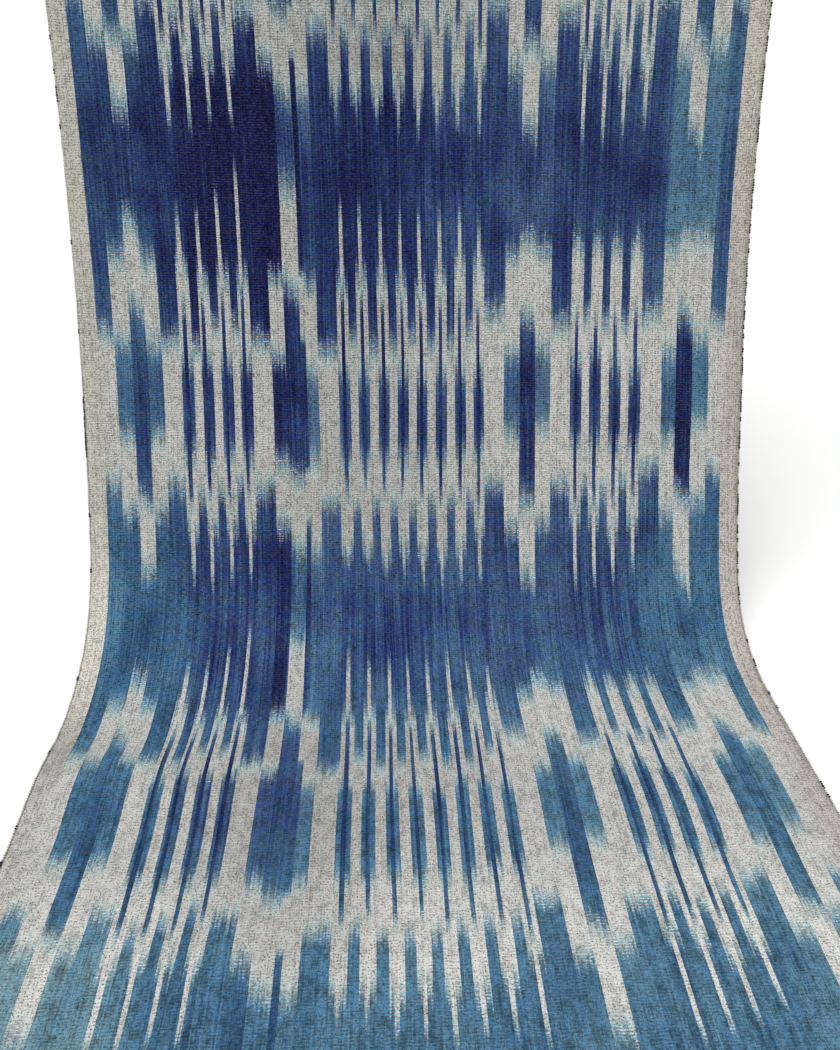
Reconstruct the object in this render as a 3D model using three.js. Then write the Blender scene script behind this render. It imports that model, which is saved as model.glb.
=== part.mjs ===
// Warp ikat cloth: one narrow handwoven length of indigo and undyed cotton.
// It hangs from its top edge, swings forward in one sweep and lies on a surface towards the viewer.
// Millimetres, +Z up. X runs across the cloth, the patterned face looks to -Y where the cloth hangs
// and up where it lies. The origin is the middle of the top edge.
import * as THREE from 'three';

// Cut size of the cloth
const CLOTH_WIDTH = 400;
const CLOTH_LENGTH = 1000;
const CLOTH_THICKNESS = 1.2;

// Sweep from hanging to lying, measured along the cloth from the top edge
const LEAN_AT_BEND_DEG = 30.9;
const BEND_MIDDLE = 612;
const BEND_LEFT_LATER = 2.5;
const BEND_LENGTH = { left: 154, middle: 150, right: 114 };

// Soft folds: each is a low ridge (or a trough, where the height is below zero) on the sweep.
// across and along place its middle; halfAcross and halfAlong are how far it reaches each way.
const FOLDS = [
  { name: 'left flute', across: -150, along: 350, halfAcross: 62, halfAlong: 300, height: 2.0 },
  { name: 'left trough', across: -62, along: 330, halfAcross: 58, halfAlong: 280, height: -2.2 },
  { name: 'right flute', across: 55, along: 360, halfAcross: 66, halfAlong: 290, height: 1.8 },
  { name: 'right trough', across: 156, along: 310, halfAcross: 56, halfAlong: 260, height: -1.8 },
  { name: 'right sag', across: 148, along: 462, halfAcross: 95, halfAlong: 42, height: 2.6 },
  { name: 'left sag', across: -128, along: 505, halfAcross: 88, halfAlong: 40, height: 2.0 },
  { name: 'foot fold', across: -152, along: 708, halfAcross: 118, halfAlong: 40, height: 5.0 },
  { name: 'right foot fold', across: 128, along: 735, halfAcross: 80, halfAlong: 38, height: 2.4 },
  { name: 'lying crease', across: -70, along: 806, halfAcross: 132, halfAlong: 26, height: 2.6 },
  { name: 'lifted corner', across: -200, along: 1000, halfAcross: 70, halfAlong: 60, height: 4.5 },
];

// Mesh steps
const COLUMNS = 24;
const ROW_STEPS = [
  { upTo: 530, step: 20 },
  { upTo: 690, step: 9 },
  { upTo: CLOTH_LENGTH, step: 15 },
];
const INTEGRATION_STEP = 1;

// Finish
const INDIGO_COLOUR = 0x2f4f7d;
const CLOTH_ROUGHNESS = 0.9;

const QUARTER_TURN = Math.PI / 2;
const LEAN_AT_BEND = THREE.MathUtils.degToRad(LEAN_AT_BEND_DEG);

// Where the bend sits and how long it is, at one place across the cloth
function bendAt(across) {
  const share = Math.abs(across) / (CLOTH_WIDTH / 2);
  const edgeLength = across < 0 ? BEND_LENGTH.left : BEND_LENGTH.right;
  return {
    middle: BEND_MIDDLE - BEND_LEFT_LATER * Math.sign(across) * share,
    length: THREE.MathUtils.lerp(BEND_LENGTH.middle, edgeLength, share),
  };
}

// Angle of the cloth from straight down: none at the top edge, a quarter turn where it lies
function leanAt(along, bend) {
  const lean = LEAN_AT_BEND * Math.min(1, along / bend.middle);
  const start = bend.middle - bend.length / 2;
  const turn = THREE.MathUtils.smoothstep(along, start, start + bend.length);
  return lean + (QUARTER_TURN - lean) * turn;
}

// Side profile of one column, worked upwards from the front end so that the lying part is level.
// Each row gives y and z from the front end, with the unit normal of the patterned face.
function sideProfile(across, rows) {
  const bend = bendAt(across);
  const profile = new Array(rows.length);
  let y = 0;
  let z = 0;
  let along = CLOTH_LENGTH;
  for (let row = rows.length - 1; row >= 0; row -= 1) {
    while (along > rows[row]) {
      const step = Math.min(INTEGRATION_STEP, along - rows[row]);
      const lean = leanAt(along - step / 2, bend);
      y += Math.sin(lean) * step;
      z += Math.cos(lean) * step;
      along -= step;
    }
    const lean = leanAt(along, bend);
    profile[row] = { y, z, normalY: -Math.cos(lean), normalZ: Math.sin(lean) };
  }
  return profile;
}

// Smooth hump: one at the middle, nothing from the edge outwards
function hump(distance, reach) {
  const share = Math.min(1, Math.abs(distance) / reach);
  return 0.5 * (1 + Math.cos(Math.PI * share));
}

// How far the folds push the cloth towards its patterned face
function foldHeight(across, along) {
  return FOLDS.reduce((sum, fold) => {
    const shape = hump(across - fold.across, fold.halfAcross) * hump(along - fold.along, fold.halfAlong);
    return sum + fold.height * shape;
  }, 0);
}

// Distances along the cloth of the mesh rows, closer together in the bend
function rowPlaces() {
  const places = [0];
  for (const stretch of ROW_STEPS) {
    const from = places[places.length - 1];
    const count = Math.round((stretch.upTo - from) / stretch.step);
    for (let step = 1; step <= count; step += 1) {
      places.push(from + ((stretch.upTo - from) * step) / count);
    }
  }
  return places;
}

// Closed sheet: a grid for the patterned face, one for the underside, and a wall round the edge
function clothGeometry() {
  const rows = rowPlaces();
  const columns = Array.from({ length: COLUMNS + 1 }, (_, index) => (index / COLUMNS - 0.5) * CLOTH_WIDTH);
  const profiles = columns.map((across) => sideProfile(across, rows));
  const topMiddle = profiles[COLUMNS / 2][0];
  const perSide = rows.length * columns.length;
  const positions = new Float32Array(2 * perSide * 3);
  const vertex = (side, row, column) => side * perSide + row * columns.length + column;

  rows.forEach((along, row) => {
    columns.forEach((across, column) => {
      const place = profiles[column][row];
      const fold = foldHeight(across, along);
      [0, CLOTH_THICKNESS].forEach((offset, side) => {
        const out = fold + offset;
        const y = place.y - topMiddle.y + place.normalY * out;
        const z = place.z - topMiddle.z + place.normalZ * out;
        positions.set([across, y, z], 3 * vertex(side, row, column));
      });
    });
  });

  const index = [];
  const quad = (a, b, c, d) => index.push(a, b, c, a, c, d);
  const lastRow = rows.length - 1;
  for (let row = 0; row < lastRow; row += 1) {
    for (let column = 0; column < COLUMNS; column += 1) {
      quad(vertex(1, row, column), vertex(1, row + 1, column),
        vertex(1, row + 1, column + 1), vertex(1, row, column + 1));
      quad(vertex(0, row, column), vertex(0, row, column + 1),
        vertex(0, row + 1, column + 1), vertex(0, row + 1, column));
    }
    quad(vertex(0, row, 0), vertex(0, row + 1, 0), vertex(1, row + 1, 0), vertex(1, row, 0));
    quad(vertex(0, row, COLUMNS), vertex(1, row, COLUMNS),
      vertex(1, row + 1, COLUMNS), vertex(0, row + 1, COLUMNS));
  }
  for (let column = 0; column < COLUMNS; column += 1) {
    quad(vertex(0, 0, column), vertex(1, 0, column), vertex(1, 0, column + 1), vertex(0, 0, column + 1));
    quad(vertex(0, lastRow, column), vertex(0, lastRow, column + 1),
      vertex(1, lastRow, column + 1), vertex(1, lastRow, column));
  }

  const geometry = new THREE.BufferGeometry();
  geometry.setAttribute('position', new THREE.BufferAttribute(positions, 3));
  geometry.setIndex(index);
  geometry.computeVertexNormals();
  return geometry;
}

// The cloth
function makeCloth() {
  const material = new THREE.MeshStandardMaterial({
    color: INDIGO_COLOUR,
    roughness: CLOTH_ROUGHNESS,
    metalness: 0,
  });
  const mesh = new THREE.Mesh(clothGeometry(), material);
  mesh.name = 'ikat_cloth';
  return mesh;
}

const ikat = new THREE.Group();
ikat.add(makeCloth());

export default ikat;
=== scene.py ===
"""Warp ikat cloth: a narrow handwoven length of indigo and undyed cotton.

The cloth hangs from its top edge, swings forward in one sweep and lies on a surface. The scene is in
metres, +Z up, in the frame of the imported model: X runs across the cloth, its patterned face looks to
-Y where it hangs, and the origin is the middle of the top edge. Sizes in the classes are millimetres.
"""

from __future__ import annotations

import logging
import math
import random
from dataclasses import dataclass, field
from enum import Enum
from typing import Any

import bmesh
import bpy
from mathutils import Matrix, Vector, noise


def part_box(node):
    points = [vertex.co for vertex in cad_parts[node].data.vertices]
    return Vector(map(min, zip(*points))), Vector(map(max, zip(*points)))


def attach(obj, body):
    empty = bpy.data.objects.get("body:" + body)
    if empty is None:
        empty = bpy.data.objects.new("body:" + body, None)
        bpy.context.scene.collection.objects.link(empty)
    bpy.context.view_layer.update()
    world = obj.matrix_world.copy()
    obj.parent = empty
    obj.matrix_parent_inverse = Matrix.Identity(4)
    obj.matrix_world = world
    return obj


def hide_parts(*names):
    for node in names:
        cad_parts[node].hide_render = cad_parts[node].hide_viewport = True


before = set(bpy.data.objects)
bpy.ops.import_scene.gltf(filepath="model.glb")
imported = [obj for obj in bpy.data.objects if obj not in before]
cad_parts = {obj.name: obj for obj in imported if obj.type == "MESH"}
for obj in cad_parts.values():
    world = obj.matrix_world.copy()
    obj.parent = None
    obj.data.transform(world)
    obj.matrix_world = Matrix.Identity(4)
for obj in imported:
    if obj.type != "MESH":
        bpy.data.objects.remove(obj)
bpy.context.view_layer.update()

CLOTH_NODE = "ikat_cloth"
MM = 0.001
TINY = 1e-9
LOG = logging.getLogger("ikat")


def linear(code: str) -> tuple[float, float, float, float]:
    """Turn an sRGB hex colour into a linear one.

    Args:
        code: the colour as "#rrggbb".

    Returns:
        Red, green, blue and alpha, from 0 to 1.
    """
    parts = [int(code[i : i + 2], 16) / 255 for i in (1, 3, 5)]
    red, green, blue = (c / 12.92 if c <= 0.04045 else ((c + 0.055) / 1.055) ** 2.4 for c in parts)
    return red, green, blue, 1.0


def add_node(
    tree: bpy.types.NodeTree,
    kind: str,
    inputs: dict[str | int, Any] | None = None,
    out: str | int = 0,
    **settings: Any,
) -> bpy.types.NodeSocket:
    """Add one node with its settings and links.

    Args:
        tree: the node tree to add to.
        kind: Blender's name for the kind of node, without "ShaderNode" in front.
        inputs: for each input socket's name or number, another node's socket or a plain value.
        out: name or number of the output socket wanted.
        settings: the node's own settings, by name.

    Returns:
        The output socket, or the node's first input where it has no output.
    """
    node = tree.nodes.new("ShaderNode" + kind)
    for name, value in settings.items():
        setattr(node, name, value)
    for key, value in (inputs or {}).items():
        if isinstance(value, bpy.types.NodeSocket):
            tree.links.new(value, node.inputs[key])
        else:
            node.inputs[key].default_value = value
    return node.outputs[out] if node.outputs else node.inputs[0]


def finish_mesh(bm: bmesh.types.BMesh, name: str, material: bpy.types.Material) -> bpy.types.Object:
    """Turn a shape into an object of the scene, at the origin and dressed in its material.

    Args:
        bm: the shape, which is freed.
        name: the object's name.
        material: what it is made of.

    Returns:
        The object.
    """
    mesh = bpy.data.meshes.new(name)
    bm.to_mesh(mesh)
    bm.free()
    mesh.materials.append(material)
    made = bpy.data.objects.new(name, mesh)
    bpy.context.scene.collection.objects.link(made)
    return made


def hump(distance: float, reach: float) -> float:
    """Smooth hump: one in the middle, nothing at reach and beyond."""
    return 0.5 * (1 + math.cos(math.pi * min(1.0, abs(distance) / reach)))


def smooth_step(value: float, start: float, end: float) -> float:
    """Rise smoothly from 0 at start to 1 at end."""
    share = min(1.0, max(0.0, (value - start) / (end - start)))
    return share * share * (3 - 2 * share)


@dataclass(frozen=True)
class Fold:
    """One soft ridge on the cloth, or a trough where its height is below zero."""

    across: float
    along: float
    half_across: float
    half_along: float
    height: float
    turn: float = 0.0

    def height_at(self, across: float, along: float) -> float:
        """Find how far this fold lifts the cloth at one place.

        Args:
            across: place across the cloth, from its middle.
            along: place along the cloth, from its top edge.

        Returns:
            The lift towards the patterned face.
        """
        turn = math.radians(self.turn)
        dx = across - self.across
        dy = along - self.along
        over = dx * math.cos(turn) + dy * math.sin(turn)
        down = dy * math.cos(turn) - dx * math.sin(turn)
        if abs(over) >= self.half_across or abs(down) >= self.half_along:
            return 0.0
        return self.height * hump(over, self.half_across) * hump(down, self.half_along)


@dataclass(frozen=True)
class Span:
    """Where something holds along one line: from rise, up to fall, and around a middle within a reach."""

    rise: tuple[float, float] | None = None
    fall: tuple[float, float] | None = None
    around: tuple[float, float] | None = None

    def share_at(self, place: float) -> float:
        """Find how much of it holds at one place.

        Args:
            place: the place on the line.

        Returns:
            A share from 0 to 1.
        """
        share = smooth_step(place, *self.rise) if self.rise else 1.0
        if self.fall:
            share *= 1 - smooth_step(place, *self.fall)
        if self.around:
            share *= hump(place - self.around[0], self.around[1])
        return share


@dataclass(frozen=True)
class Shade:
    """One part of the cloth where a tone is higher or lower than elsewhere."""

    amount: float
    across: Span = Span()
    along: Span = Span()

    def amount_at(self, across: float, along: float) -> float:
        """Find how much this shade adds at one place, from the left selvedge and the top edge."""
        share = self.across.share_at(across)
        return self.amount * share * self.along.share_at(along) if share else 0.0


def total(shades: tuple[Shade, ...], across: float, along: float) -> float:
    """Add up the shades that reach one place.

    Args:
        shades: the shades.
        across: place across the cloth, from the left selvedge.
        along: place along the cloth, from its top edge.

    Returns:
        The sum of their amounts there.
    """
    return sum(shade.amount_at(across, along) for shade in shades)


LYING = Span(rise=(640, 730))
BEND = Span(around=(600, 75))
FIRST_BELT = Span(fall=(385, 425))
LEFT_SELVEDGE = Span(fall=(10, 14))
RIGHT_SELVEDGE = Span(rise=(386, 390))
# Where the undyed yarn changes from its hanging to its lying shades
YARN_HANGS = Span(fall=(640, 720))
YARN_LIES = Span(rise=(640, 720))

# How the depth of the blue changes, as a share of each bath: paler towards the front end, partly from the dye
# and partly as painted light
DEPTH_AND_PAINTED_LIGHT = (
    Shade(-0.17, along=Span(rise=(480, 590))),
    Shade(0.05, across=Span(fall=(120, 160)), along=LYING),
    Shade(-0.07, across=Span(rise=(270, 370)), along=LYING),
    Shade(-0.04, across=Span(around=(258, 12)), along=LYING),
    Shade(-0.25, across=Span(around=(364, 9)), along=LYING),
    Shade(-0.12, along=Span(rise=(740, 830))),
    Shade(-0.07, along=Span(rise=(820, 850))),
    Shade(-0.11, across=Span(around=(100, 30)), along=Span(rise=(770, 810))),
    Shade(-0.3, across=Span(fall=(60, 100)), along=Span(rise=(775, 810))),
    Shade(-0.12, across=Span(rise=(190, 225)), along=FIRST_BELT),
    Shade(-0.168, across=Span(rise=(335, 358), fall=(378, 382)), along=FIRST_BELT),
    Shade(0.02, across=Span(around=(172, 45)), along=FIRST_BELT),
    Shade(0.05, across=Span(around=(116, 8)), along=FIRST_BELT),
    Shade(0.15, across=Span(around=(115, 9)), along=Span(fall=(740, 790))),
    Shade(0.06, across=Span(around=(185, 45)), along=BEND),
    Shade(-0.06, across=Span(around=(95, 65)), along=BEND),
    Shade(0.01, across=Span(fall=(40, 80)), along=BEND),
    Shade(0.07, across=Span(around=(256, 9)), along=BEND),
    Shade(-0.07, across=Span(around=(225, 20)), along=BEND),
)

# What the ground stripes have less or more than that
GROUND_SHADES = (
    Shade(-0.07),
    Shade(0.05, across=Span(rise=(270, 290))),
    Shade(-0.07, along=Span(rise=(480, 560))),
    Shade(-0.05, across=Span(rise=(270, 290)), along=Span(rise=(480, 560))),
)

# How green the blue is, from 0 for violet to 1: greener at both sides and towards the front end
GREEN_SHADES = (
    Shade(0.45, across=Span(fall=(30, 90))),
    Shade(0.45, across=Span(rise=(300, 370))),
    Shade(0.9, along=Span(rise=(520, 790))),
    Shade(0.4, across=Span(fall=(30, 90)), along=Span(rise=(500, 580))),
    Shade(0.4, across=Span(rise=(300, 370)), along=Span(rise=(500, 580))),
    Shade(-0.9, across=Span(around=(108, 62)), along=Span(around=(725, 75))),
    Shade(0.3, across=Span(around=(100, 40)), along=Span(rise=(780, 815))),
)

# How light the undyed yarn is drawn from place to place, with painted light and shade on the left selvedge at
# the bend
BARE_TONE_AND_PAINTED_LIGHT = (
    Shade(0.9),
    Shade(-0.16, across=Span(around=(165, 90)), along=YARN_HANGS),
    Shade(-0.28, across=Span(around=(128, 70)), along=YARN_LIES),
    Shade(0.06, across=Span(rise=(225, 260)), along=YARN_HANGS),
    Shade(0.07, across=Span(rise=(270, 330)), along=YARN_LIES),
    Shade(0.26, along=Span(rise=(745, 805))),
    Shade(-0.16, across=Span(around=(200, 75)), along=Span(around=(712, 55))),
    Shade(-0.2, across=Span(around=(200, 110)), along=Span(fall=(270, 320))),
    # Painted light: the left selvedge lighter where the bend turns up to the light
    Shade(0.27, across=LEFT_SELVEDGE, along=Span(around=(605, 95))),
    # Painted shade: the left selvedge darker in the trough at the foot of the bend
    Shade(-0.2, across=LEFT_SELVEDGE, along=Span(around=(685, 45))),
    Shade(-0.04, across=LEFT_SELVEDGE, along=YARN_LIES),
    Shade(-0.06, across=RIGHT_SELVEDGE),
    Shade(-0.1, across=RIGHT_SELVEDGE, along=Span(around=(430, 80))),
    Shade(-0.12, across=RIGHT_SELVEDGE, along=Span(around=(640, 22))),
    Shade(-0.06, across=RIGHT_SELVEDGE, along=YARN_LIES),
    Shade(0.06, across=RIGHT_SELVEDGE, along=Span(fall=(280, 340))),
)

# Its green and its blue, as shares of its red: the selvedges are the warmest
BARE_GREEN = (
    Shade(1.0),
    Shade(-0.02, across=LEFT_SELVEDGE),
    Shade(-0.05, across=RIGHT_SELVEDGE),
    Shade(-0.03, across=RIGHT_SELVEDGE, along=Span(rise=(340, 400))),
)
BARE_BLUE = (
    Shade(1.0),
    Shade(-0.12, across=LEFT_SELVEDGE),
    Shade(0.06, across=LEFT_SELVEDGE, along=YARN_LIES),
    Shade(-0.09, across=RIGHT_SELVEDGE),
    Shade(-0.05, across=RIGHT_SELVEDGE, along=YARN_HANGS),
)

# How strongly single threads show: less where the cloth lies
THREAD_SHADES = (Shade(1.0), Shade(-0.42, along=Span(rise=(600, 760))))

# How repeats differ, in millimetres: the last belt sits closer, the second crept farthest under its
# bindings at both ends, and the bars before the first belt are the longest
BELT_SHIFT = (Shade(-1.5), Shade(-10.5, along=Span(rise=(690, 750))))
BELT_GROWTH = (
    Shade(6.5, along=Span(fall=(690, 715))),
    Shade(3.5, along=Span(rise=(450, 500), fall=(690, 715))),
)
BAR_GROWTH = (Shade(8.0, along=Span(fall=(270, 330))),)

MAIN_FOLDS = (
    Fold(across=-150, along=350, half_across=62, half_along=300, height=2.0),
    Fold(across=-62, along=330, half_across=58, half_along=280, height=-2.2),
    Fold(across=55, along=360, half_across=66, half_along=290, height=1.8),
    Fold(across=156, along=310, half_across=56, half_along=260, height=-1.8),
    Fold(across=148, along=462, half_across=95, half_along=42, height=2.6),
    Fold(across=-128, along=505, half_across=88, half_along=40, height=2.0),
    Fold(across=-152, along=708, half_across=118, half_along=40, height=5.0),
    Fold(across=128, along=735, half_across=80, half_along=38, height=2.4),
    Fold(across=-70, along=806, half_across=132, half_along=26, height=2.6),
    Fold(across=-200, along=1000, half_across=70, half_along=60, height=4.5),
)

# Fine creases: sharp little ridges that only the finished cloth shows
FINE_CREASES = (
    Fold(across=-172, along=694, half_across=46, half_along=7, height=0.9, turn=14),
    Fold(across=150, along=487, half_across=44, half_along=6, height=0.8, turn=24),
    Fold(across=128, along=478, half_across=30, half_along=5, height=0.5, turn=-20),
    Fold(across=-40, along=806, half_across=80, half_along=5, height=0.6, turn=2),
    Fold(across=60, along=640, half_across=70, half_along=9, height=0.7, turn=-4),
    Fold(across=-110, along=655, half_across=60, half_along=8, height=-0.6, turn=3),
)


@dataclass(frozen=True)
class Sweep:
    """The shape in which the cloth hangs, bends and lies."""

    width: float = 400.0
    length: float = 1000.0
    lean_at_bend: float = 30.9
    bend_middle: float = 612.0
    bend_left_later: float = 2.5
    bend_length_left: float = 154.0
    bend_length_middle: float = 150.0
    bend_length_right: float = 114.0
    walk_step: float = 1.0
    ripple_height: float = 0.45
    ripple_across: float = 46.0
    ripple_along: float = 30.0
    ripple_dimension: float = 0.9
    ripple_lacunarity: float = 2.1
    ripple_octaves: int = 2
    ripple_sunk: float = 0.1
    ripple_settles: float = 80.0
    plain_top: float = 60.0
    folds: tuple[Fold, ...] = MAIN_FOLDS + FINE_CREASES

    def bend_at(self, across: float) -> tuple[float, float]:
        """Find the bend at one place across the cloth.

        Args:
            across: place across the cloth, from its middle.

        Returns:
            The place of the bend's middle along the cloth, and the bend's length.
        """
        share = abs(across) / (self.width / 2)
        edge = self.bend_length_left if across < 0 else self.bend_length_right
        middle = self.bend_middle - self.bend_left_later * math.copysign(share, across)
        return middle, self.bend_length_middle + (edge - self.bend_length_middle) * share

    def lean_at(self, along: float, bend: tuple[float, float]) -> float:
        """Find the cloth's angle from straight down.

        Args:
            along: place along the cloth, from its top edge.
            bend: the bend's middle and length.

        Returns:
            The angle in radians: nothing at the top edge, a quarter turn where the cloth lies.
        """
        middle, length = bend
        lean = math.radians(self.lean_at_bend) * min(1.0, along / middle)
        turn = smooth_step(along, middle - length / 2, middle + length / 2)
        return lean + (math.pi / 2 - lean) * turn

    def side_profile(self, across: float, rows: list[float]) -> list[tuple[float, float, float]]:
        """Work out one column's side view upwards from the front end, so that the lying part is level.

        Args:
            across: place across the cloth, from its middle.
            rows: places along the cloth, from its top edge, in rising order.

        Returns:
            For each row, y and z from the front end and the lean.
        """
        bend = self.bend_at(across)
        y = z = 0.0
        along = self.length
        profile = []
        for place in reversed(rows):
            while along > place + TINY:
                step = min(self.walk_step, along - place)
                lean = self.lean_at(along - step / 2, bend)
                y += math.sin(lean) * step
                z += math.cos(lean) * step
                along -= step
            profile.append((y, z, self.lean_at(along, bend)))
        return profile[::-1]

    def lift_at(self, across: float, along: float) -> float:
        """Find how far folds and ripples lift the cloth off the plain sweep.

        Args:
            across: place across the cloth, from its middle.
            along: place along the cloth, from its top edge.

        Returns:
            The lift towards the patterned face. Where the cloth lies it is never below zero.
        """
        lift = sum(fold.height_at(across, along) for fold in self.folds)
        place = Vector((across / self.ripple_across, along / self.ripple_along, 0.0))
        waves = (self.ripple_dimension, self.ripple_lacunarity, self.ripple_octaves)
        ripple = noise.fractal(place, *waves) * self.ripple_height
        lying = smooth_step(along, self.bend_middle, self.bend_middle + self.ripple_settles)
        ripple = (1 - lying) * ripple + lying * max(0.0, ripple - self.ripple_sunk)
        ripple *= smooth_step(along, 0, self.plain_top)
        return lift + ripple


class Bath(Enum):
    """How deep the indigo took on a band of threads, from 0 for undyed to 1 for the darkest blue."""

    NIGHT = 0.98
    DEEP = 0.86
    INDIGO = 0.76
    MIDDLE = 0.66
    PALE = 0.58


@dataclass(frozen=True)
class Motif:
    """One bound motif, a core between two shoulders, with the ground stripe on its left.

    edges are across the cloth, from the left selvedge. All else is along it, from the top edge: the
    stretches that took the dye, a belt and a bar, and the stretch of the ground stripe that stayed
    light. slants tell how much lower the core's belt starts and ends, and its bar starts and
    ends, at its right edge than at its left.
    """

    edges: tuple[float, float, float, float]
    core_belt: tuple[float, float]
    core_bar: tuple[float, float]
    side_belt: tuple[float, float]
    side_bar: tuple[float, float]
    ground_light: tuple[float, float]
    slants: tuple[float, float, float, float] = (0.0, 0.0, 0.0, 0.0)
    side_fall: float = 0.0
    ground_fall: float = 0.0
    ground: Bath = Bath.DEEP
    core: tuple[Bath, Bath] = (Bath.DEEP, Bath.DEEP)
    left: tuple[Bath, Bath] = (Bath.DEEP, Bath.INDIGO)
    right: tuple[Bath, Bath] = (Bath.DEEP, Bath.INDIGO)


NIGHT_MOTIF = {
    "ground": Bath.NIGHT,
    "core": (Bath.NIGHT, Bath.DEEP),
    "left": (Bath.NIGHT, Bath.DEEP),
    "right": (Bath.NIGHT, Bath.DEEP),
}

# The warp's chart, read off: one row a motif, from the left selvedge to the right
CHART = (
    Motif((20.3, 30.2, 39.2, 48.0), (306, 360), (406, 527), (272, 380), (426, 488), (427, 510),
          slants=(0, 0, 8, 6), side_fall=1, ground=Bath.INDIGO, core=(Bath.DEEP, Bath.INDIGO),
          left=(Bath.INDIGO, Bath.MIDDLE), right=(Bath.INDIGO, Bath.MIDDLE)),
    Motif((58.8, 60.8, 63.3, 66.0), (310, 356), (405, 527), (283, 382), (440, 499), (431, 512)),
    Motif((70.9, 72.2, 74.2, 77.4), (313, 356), (405, 525), (281, 391), (436, 502), (434, 522),
          **NIGHT_MOTIF),
    Motif((82.2, 83.7, 85.7, 89.2), (309, 346), (402, 524), (283, 388), (437, 499), (423, 518),
          **NIGHT_MOTIF),
    Motif((93.5, 95.2, 97.2, 100.5), (310, 333), (397, 521), (282, 390), (438, 500), (423, 512),
          **NIGHT_MOTIF),
    Motif((112.2, 120.8, 130.2, 133.2), (295, 340), (396, 512), (282, 388), (436, 502), (431, 517),
          slants=(6, 0, 8, 2), ground=Bath.NIGHT, core=(Bath.INDIGO, Bath.DEEP),
          left=(Bath.NIGHT, Bath.DEEP), right=(Bath.NIGHT, Bath.DEEP)),
    Motif((152.0, 154.5, 156.8, 159.2), (302, 352), (396, 522), (294, 392), (443, 503), (437, 525)),
    Motif((164.0, 166.2, 168.2, 170.8), (302, 354), (400, 517), (294, 388), (445, 504), (430, 526)),
    Motif((176.0, 178.0, 180.0, 182.5), (308, 356), (404, 522), (298, 390), (446, 503), (436, 527)),
    Motif((187.5, 189.8, 191.5, 194.2), (310, 357), (404, 519), (295, 392), (446, 504), (434, 528)),
    Motif((199.0, 201.0, 203.0, 205.5), (313, 358), (406, 526), (298, 393), (449, 504), (429, 527)),
    Motif((210.5, 212.5, 214.5, 217.2), (310, 356), (403, 525), (298, 389), (443, 503), (434, 525)),
    Motif((222.0, 224.2, 226.2, 229.0), (310, 357), (403, 526), (292, 382), (443, 499), (433, 522)),
    Motif((233.8, 236.0, 238.0, 240.5), (313, 361), (408, 532), (283, 382), (445, 498), (426, 521)),
    Motif((252.7, 261.8, 271.2, 280.7), (313, 367), (412, 529), (283, 377), (433, 488), (414, 511),
          slants=(4, 0, 8, 2), side_fall=-4, left=(Bath.INDIGO, Bath.MIDDLE), right=(Bath.INDIGO, Bath.PALE)),
    Motif((293.0, 295.7, 297.7, 300.3), (315, 363), (412, 530), (276, 370), (435, 492), (420, 514)),
    Motif((305.0, 307.5, 309.7, 312.0), (313, 366), (413, 528), (276, 370), (432, 493), (416, 513)),
    Motif((316.8, 319.5, 321.7, 324.0), (309, 366), (410, 526), (284, 372), (438, 494), (419, 517)),
    Motif((329.0, 332.0, 334.2, 336.5), (304, 362), (406, 525), (280, 372), (442, 493), (420, 510)),
    Motif((349.5, 358.7, 368.7, 378.8), (313, 365), (408, 524), (274, 373), (430, 489), (414, 505),
          slants=(20, 0, 8, 8), side_fall=-8, ground_fall=-4, core=(Bath.INDIGO, Bath.NIGHT),
          left=(Bath.MIDDLE, Bath.MIDDLE), right=(Bath.MIDDLE, Bath.PALE)),
)


@dataclass(frozen=True)
class Band:
    """Threads that were bound together.

    dyed_left and dyed_right give the belt's middle and half length and then the bar's, at the band's
    two edges. bath is how deep the dye took on each. thin marks the thinnest cores, which stay dark.
    """

    left: float
    right: float
    dyed_left: tuple[float, float, float, float]
    dyed_right: tuple[float, float, float, float]
    feather: float
    bath: tuple[float, float]
    thin: bool = False

    @property
    def has_bar(self) -> bool:
        """Tell a motif's band, with a belt and a bar, from ground stripes and undyed bands."""
        return self.dyed_left[3] > 0


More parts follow.
